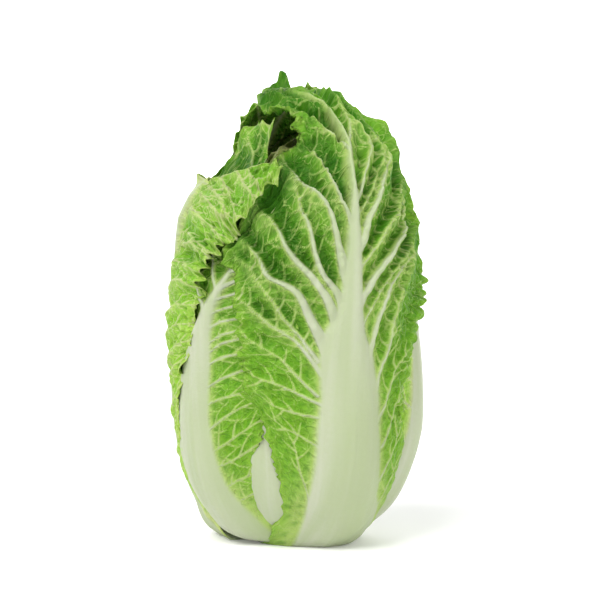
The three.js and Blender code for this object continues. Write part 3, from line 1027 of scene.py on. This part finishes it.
def colour(red, green, blue):
    """The paint that looks like this screen colour, 0 to 255, under the lamps."""
    shares = (red / 255, green / 255, blue / 255)
    linear = [c / 12.92 if c <= 0.04045 else ((c + 0.055) / 1.055) ** 2.4 for c in shares]
    return (*[value / LAMPS for value in linear], 1)


def palette(names, *tones):
    """Paints under plain names."""
    return {name: colour(*tone) for name, tone in zip(names.split(), tones, strict=True)}


print("paint for a leaf's green:", [round(value, 3) for value in colour(132, 190, 36)])

# %% [markdown]
# Every finish starts alike: a material with a Principled shader, and patterns laid on a place, which is the
# leaf's flat layout or the object's own coordinates. Clouds of noise and nets of cells cover all that
# follows.

# %% Starting a finish
def new_material(name):
    """A material with a Principled shader, and a wire to hang other nodes on."""
    material = bpy.data.materials.new(name)
    material.use_nodes = True
    shader = material.node_tree.nodes["Principled BSDF"]
    return material, shader, Wire(material.node_tree, shader.outputs[0])


def connect(shader, **inputs):
    """Feeds the shader's sockets, whose names are given with underscores."""
    for key, value in inputs.items():
        socket = shader.inputs[key.replace("_", " ")]
        if isinstance(value, Wire):
            value.tree.links.new(value.socket, socket)
        else:
            socket.default_value = value


def noise(place, scale, **more):
    """Clouds of noise."""
    return place.node("TexNoise", (), {"Vector": place, "Scale": scale} | more)


def net(place, scale):
    """Distance to the border of the nearest cell in a net."""
    return place.node("TexVoronoi", {"feature": "DISTANCE_TO_EDGE"}, {"Vector": place, "Scale": scale})


def stretched(place, across, up):
    """The same place, with a pattern drawn out along the side where the number is small."""
    return place.node("Mapping", (), {"Vector": place, "Scale": (across, up, 1)})


print("pattern helpers:", [helper.__name__ for helper in (noise, net, stretched)])

# %% [markdown]
# A cabbage blade is green, and paler towards its rib, its foot and its very edge. Over that goes painted
# light: a lighter tone where the thin blade would be lit through, and painted shade in its folds, its
# crumpled valleys and its pits. That could be painted on an image, but the painted fields already say where
# a corner is in all these ways, so each of them blends one more tone over the last.

# %% The green of a blade
def leaf_places(wire):
    """What a leaf's finish reads: its painted fields, its flat layout, and the patterns laid on that."""
    flat = wire.node("UVMap", {"uv_map": "UVMap"})
    leaf = {key: wire.node("Attribute", {"attribute_name": key}, (), 2) for key in PAINTED}
    shaken = wire.node("TexNoise", (), {"Vector": flat, "Scale": 160}, 1)
    bent = wire.node("VectorMath", {"operation": "MULTIPLY_ADD"}, {0: shaken, 1: (0.005, 0.005, 0), 2: flat})
    y = wire.node("SeparateXYZ", (), {0: flat}, 1)
    return SimpleNamespace(
        **leaf, flat=flat, bent=bent, y=y, height=y.between(0.06, 0.3), broad=noise(flat, 45, Detail=3),
        fine=noise(flat, 420, Detail=4, Roughness=0.65), fine_net=net(bent, 340), middle_net=net(bent, 130),
    )


def blade_green(leaf, paint):
    """The blade between its veins."""
    green = leaf.height.blend(paint["low"], paint["high"])
    patches = leaf.broad.between(0.35, 0.7) * 0.6 + leaf.tone.between(-1, 1) * 0.35
    green = patches.blend(green, paint["patch"])
    green = (leaf.fine.between(0.35, 0.75) * 0.35).blend(green, paint["high"])
    # painted light: lighter lime where light would shine through the blade
    green = (leaf.glow * 0.7).blend(green, paint["lime"])
    green = (leaf.y.between(0.2, 0.34) * 0.15).blend(green, paint["high"])
    # painted shade: the darkest green goes where the painted field for the folds is high, in the folds, the
    # crumpled valleys and the listed spots
    green = (leaf.fold.between(0.08, 0.9) * 0.72).blend(green, paint["fold"])
    foot = (1 - leaf.y.between(0.01, 0.09)) * 0.55
    foot = foot + (1 - leaf.near_rib.between(0, 12)) * 0.35 * (1 - leaf.height)
    green = foot.between(0, 1).blend(green, paint["lime"])
    rim = (1 - leaf.edge.between(0, 9)) * 0.55 * (1 - leaf.fold.between(0.3, 1))
    green = rim.blend(green, paint["edge"])
    # painted shade in the pits: the middle of each cell turns the darker green of the crown
    return (leaf.cell.between(0.12, 0.5) * 0.42).blend(green, paint["high"])


# the fourth tone is the dark green painted as shade in the folds
BLADE_TONES = "low high patch fold edge lime"
green_blade = palette(
    BLADE_TONES, (132, 190, 36), (72, 154, 18), (140, 208, 50),
    (36, 106, 6), (170, 222, 76), (206, 234, 130),
)
# a paler copy of the greens for the left and right leaves; its extra brightness is partly painted light, for
# the key lamp grazing the left leaf
pale_and_painted_light_blade = palette(
    BLADE_TONES, (184, 242, 66), (128, 210, 40), (190, 242, 84),
    (66, 148, 12), (220, 252, 124), (234, 248, 164),
)
inner_blade = palette(
    BLADE_TONES, (196, 214, 110), (178, 204, 96), (214, 226, 132),
    (150, 180, 76), (224, 232, 150), (226, 234, 158),
)
print("tones of a blade:", list(green_blade))

# %% [markdown]
# Finer than the modelled veins is a lace of pale veinlets, which shows in some patches and fades in others.
# They are too many and too small to model, so they are drawn along the borders of four nets of cells, one
# of which is the net that the modelled pits follow.

# %% The lace of veinlets
LACE_AT_FOOT = 0.55  # how strong the lace is near the foot, as a share of its strength above


def veinlets(leaf):
    """How strongly the lace shows."""
    patchy = noise(leaf.flat, 75, Detail=2).between(0.38, 0.62)
    ladder = net(stretched(leaf.bent, 0.4, 1), 140)
    lace = (1 - leaf.fine_net.between(0.02, 0.13)) * 0.12
    lace = lace + (1 - leaf.middle_net.between(0.012, 0.045)) * (patchy * 0.45 + 0.15)
    lace = lace + (1 - leaf.cell.between(0.02, 0.12)) * (0.2 + patchy * 0.2)
    return lace + (1 - ladder.between(0.01, 0.06)) * 0.2 * (1 - patchy)


def laced(leaf, green, paint, strength):
    """The green with the lace on it, which is fainter near the foot and where shade is painted in the folds.
    """
    lace = veinlets(leaf) * (LACE_AT_FOOT + leaf.height * (1 - LACE_AT_FOOT))
    lace = lace * strength * (1 - leaf.fold * 0.5)
    return lace.between(0, 1).blend(green, paint["lime"])


print("lace at the foot, as a share of the lace above:", LACE_AT_FOOT)

# %% [markdown]
# The rib is ivory, never plain white: long faint streaks run up it, and a green flush comes in towards the
# top and along one side. Drawing ordinary noise out along the leaf gives streaks that follow the rib round.

# %% The white of a rib
def streaks(leaf):
    """Fine streaks along a leaf."""
    return noise(stretched(leaf.flat, 1, 0.06), 260, Detail=3)


def rib_white(leaf, paint, streak):
    """The rib and the veins."""
    white = (leaf.fine.between(0.3, 0.7) * 0.4).blend(paint["rib"], paint["mottle"])
    white = (streak.between(0.35, 0.75) * 0.6).blend(white, paint["streak"])
    white = (leaf.flush * (1 - leaf.y.between(0.1, 0.2)) * 0.75).blend(white, paint["flush"])
    broad_streak = noise(stretched(leaf.flat, 1, 0.04), 90, Detail=1)
    white = (broad_streak.between(0.4, 0.65) * 0.5).blend(white, paint["flush"])
    return (leaf.y.between(0.12, 0.3) * 0.75).blend(white, paint["upper"])


RIB_TONES = "rib mottle streak upper flush"
ivory_rib = palette(
    RIB_TONES, (226, 233, 202), (216, 226, 186), (238, 242, 220), (214, 232, 176), (203, 219, 166),
)
inner_rib = palette(
    RIB_TONES, (232, 236, 206), (226, 232, 196), (240, 243, 220), (236, 240, 204), (226, 234, 190),
)
print("tones of a rib:", list(ivory_rib))

# %% [markdown]
# The two finishes meet at the side of each vein, with a soft lime halo between them. The halo and the veins
# come from the painted distance, so they lie exactly on the modelled ridges. A fine bump gives the skin its
# grain, and a little light passes under it, as in any fresh leaf.

# %% Leaf finish
def leaf_material(name, paint, strength):
    """A whole leaf: green blade, pale lace, veins and rib."""
    material, shader, wire = new_material(name)
    leaf = leaf_places(wire)
    streak = streaks(leaf)
    green = laced(leaf, blade_green(leaf, paint), paint, strength)
    white = rib_white(leaf, paint, streak)
    halo = 1 - leaf.vein.between(-0.4, 0.6) * leaf.near_rib.between(-1, 3)
    mask = 1 - leaf.vein.between(-1.25, -0.1) * leaf.near_rib.between(-3, 0.6)
    # the lime halo beside the veins gives way where shade is painted in the folds
    green = (halo * 0.85 * (1 - leaf.fold.between(0.2, 1.2) * 0.6)).blend(green, paint["lime"])
    grain = leaf.fine_net.between(0, 0.3) * -0.35 + leaf.middle_net.between(0, 0.25) * -0.5
    grain = leaf.fine * 0.25 + grain * (1 - mask) + streak * 0.25 * mask
    bump = wire.node("Bump", (), {"Height": grain, "Strength": 0.9, "Distance": 0.0016})
    rough = 0.48 + leaf.fine * 0.12 - mask * 0.1
    connect(shader, Base_Color=mask.blend(green, white), Roughness=rough, Normal=bump, Subsurface_Weight=0.12,
            Subsurface_Radius=(0.6, 1.0, 0.3), Subsurface_Scale=0.004, Specular_IOR_Level=0.12)
    return material


outer_finish = leaf_material("outer_leaf", green_blade | ivory_rib, 1.0)
pale_and_painted_light_finish = leaf_material("outer_leaf_pale", pale_and_painted_light_blade | ivory_rib, 1.0)
inner_finish = leaf_material("inner_leaf", inner_blade | inner_rib, 0.8)
for leaf in leaves:
    # the left and right leaves take the paler finish, whose extra brightness is partly painted light
    finish = pale_and_painted_light_finish if leaf.name in ("leaf_left", "leaf_right") else outer_finish
    leaf.data.materials.append(inner_finish if leaf.name.startswith("leaf_inner") else finish)
print("leaf finishes:", outer_finish.name, pale_and_painted_light_finish.name, inner_finish.name)

# %% [markdown]
# The stem keeps its measured shape. Its cut face shows faint rings, and a drying rim that has turned tan. A
# lathe's rings would be too even, so a sine of the distance from the middle is shaken by noise first.

# %% Stem finish
RING_PITCH = 1700  # radians of the rings' sine for one metre
DRY_RIM = (0.021, 0.029)  # radius where the flesh starts to dry, and where it is dry


def refinished(node, finish):
    """Gives a measured solid that stays visible a finish of its own."""
    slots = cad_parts[node].data.materials
    slots.clear()
    slots.append(finish)


def cut_material():
    """A cut stem: pale rings inside a tan rim."""
    material, shader, wire = new_material("stem")
    place = wire.node("TexCoord", (), (), 3)
    x, y = [wire.node("SeparateXYZ", (), {0: place}, k) for k in range(2)]
    radius = (x * x + y * y) ** 0.5
    wobble = noise(place, 90, Detail=4)
    ring = wire.math("SINE", (radius + wobble * 0.004) * RING_PITCH)
    flesh = (ring * 0.5 + 0.5).blend(colour(226, 224, 190), colour(206, 208, 166))
    flesh = (radius + wobble * 0.006).between(*DRY_RIM).blend(flesh, colour(176, 158, 108))
    flesh = wobble.between(0.55, 0.8).blend(flesh, colour(196, 186, 140))
    bump = wire.node("Bump", (), {"Height": wobble + ring * 0.15, "Strength": 0.5, "Distance": 0.0008})
    connect(shader, Base_Color=flesh, Roughness=0.55 + wobble * 0.2, Normal=bump)
    return material


refinished("stem", cut_material())
print("rings on the cut face, mm apart:", round(2 * math.pi / RING_PITCH / MM, 1))

# %% [markdown]
# At the heart sits a bud of tiny folded leaves, all but hidden. It keeps its measured shape too. Leaves of
# that size could be modelled, but nobody sees them, so yellow folds are drawn and embossed on the bud.

# %% Heart finish
def heart_material():
    """A crumpled yellow bud."""
    material, shader, wire = new_material("heart")
    place = wire.node("TexCoord", (), (), 3)
    crumple, folds = noise(place, 260, Detail=5), net(place, 150)
    tint = crumple.between(0.3, 0.7).blend(colour(226, 226, 146), colour(240, 238, 178))
    # painted shade: the creases between the drawn folds of the bud are a darker yellow
    tint = folds.between(0, 0.12).blend(colour(206, 206, 116), tint)
    bump = wire.node("Bump", (), {"Height": crumple + folds, "Strength": 0.6, "Distance": 0.0012})
    connect(shader, Base_Color=tint, Roughness=0.45 + crumple * 0.2, Normal=bump)
    return material


refinished("heart_bud", heart_material())
print("finish of the bud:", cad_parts["heart_bud"].data.materials[0].name)

# %% [markdown]
# The head stands on white paper in front of a lit white wall. Both could be one curved sheet, but two flat
# ones are enough, because their edge is lost in the white. Each gives off a little light, so neither turns
# grey.

# %% Floor and wall
WALL_BEHIND = 5.5
SHEET_REACH = 6


def wide_sheet(name, place, finish):
    """A very large flat sheet."""
    sheet = bmesh.new()
    bmesh.ops.create_grid(sheet, x_segments=1, y_segments=1, size=SHEET_REACH)
    bmesh.ops.transform(sheet, verts=sheet.verts, matrix=place)
    mesh = bpy.data.meshes.new(name)
    sheet.to_mesh(mesh)
    sheet.free()
    mesh.materials.append(finish)
    made = bpy.data.objects.new(name, mesh)
    bpy.context.scene.collection.objects.link(made)
    return made


def white_finish(name, grain, low, high, roughness, light):
    """White with a faint grain between two shades, and a light of its own."""
    material, shader, wire = new_material(name)
    shade = noise(wire.node("TexCoord", (), (), 3), grain).blend((low, low, low, 1), (high, high, high, 1))
    connect(shader, Base_Color=shade, Roughness=roughness)
    connect(shader, Emission_Color=(1, 1, 1, 1), Emission_Strength=light)
    return material


upright = Matrix.Translation((0, WALL_BEHIND, 0)) @ Matrix.Rotation(math.pi / 2, 4, "X")
floor = wide_sheet("floor", Matrix.Identity(4), white_finish("paper", 900, 0.93, 0.95, 0.9, 0.1))
wall = wide_sheet("backdrop", upright, white_finish("lit_wall", 3, 0.8, 0.85, 1.0, 0.9))
print("floor and wall, m across:", 2 * SHEET_REACH)

# %% [markdown]
# The light is soft and comes mostly from the upper left, with a weaker fill from the right and a faint rim
# from behind. Area lamps would have to be very large to be this soft. A sun with a wide angle is as soft
# everywhere, and lights the paper evenly.

# %% Lamps and sky
def make_lamp(name, place, softness, power):
    """A very large lamp far off in the direction of place, softness degrees wide."""
    lamp = bpy.data.lights.new(name, "SUN")
    lamp.angle = math.radians(softness)
    lamp.energy = power
    holder = bpy.data.objects.new(name, lamp)
    holder.location = place
    holder.rotation_euler = holder.location.to_track_quat("Z", "Y").to_euler()
    bpy.context.scene.collection.objects.link(holder)


make_lamp("key", (-0.9, -1.2, 1.75), 40, 2.75)
make_lamp("fill", (1.6, -1.2, 0.7), 50, 0.9)
make_lamp("rim", (0.3, 1.4, 1.2), 40, 0.6)
scene = bpy.context.scene
scene.world = bpy.data.worlds.new("sky")
scene.world.use_nodes = True
sky = scene.world.node_tree.nodes["Background"]
sky.inputs["Color"].default_value = (1, 1, 1, 1)
sky.inputs["Strength"].default_value = 0.5
scene.view_settings.view_transform = "Standard"

# %% [markdown]
# The camera stands well back and looks down on the head by a few degrees. A long lens from far off keeps
# the rib straight and the foot round, where a short one from near by would bow both.

# %% Camera
LENS, SENSOR = 154.8, 36
AWAY, EYE_HEIGHT, EYE_SIDE = 1.6, 0.149, 0.0019  # metres: from the head, and the point that it looks at
LOOK_DOWN = math.radians(4.5)

lens = bpy.data.cameras.new("camera")
lens.lens = LENS
lens.sensor_width = SENSOR
lens.clip_start = 0.05
lens.clip_end = 50
camera = bpy.data.objects.new("camera", lens)
camera.location = (EYE_SIDE, -AWAY * math.cos(LOOK_DOWN), EYE_HEIGHT + AWAY * math.sin(LOOK_DOWN))
camera.rotation_euler = (math.pi / 2 - LOOK_DOWN, 0, 0)
scene.collection.objects.link(camera)
scene.camera = camera
print("camera at, m:", [round(value, 3) for value in camera.location])

# %% [markdown]
# The finished head may stand only a little proud of the measured solids, or other parts that are fitted to
# the solids would run into its leaves.
